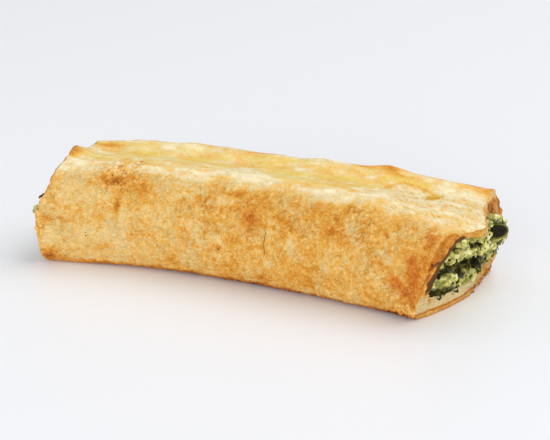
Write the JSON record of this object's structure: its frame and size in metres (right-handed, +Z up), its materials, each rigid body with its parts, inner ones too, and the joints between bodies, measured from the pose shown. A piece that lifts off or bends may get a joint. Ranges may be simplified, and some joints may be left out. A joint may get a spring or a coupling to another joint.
{
  "type": "spinach roll",
  "caption": "Baked pastry roll with a spinach and cheese filling that shows at its two cut ends, lying on its flat base.",
  "frame": {"origin": "under the middle of the whole, on the surface the roll rests on", "axes": "+X along the roll towards the end that shows the most filling, -Y towards the tall golden side, +Z up"},
  "size_m": [0.1538, 0.062, 0.0372],
  "materials": {
    "crust": "baked golden dough, satin, browned in patches",
    "filling": "moist pale green cheese and spinach",
    "leaf": "wet dark green cooked leaf",
    "flake": "dry flakes of baked dough"
  },
  "bodies": {
    "root": {"pastry": "crust", "filling": "filling"}
  },
  "joints": []
}
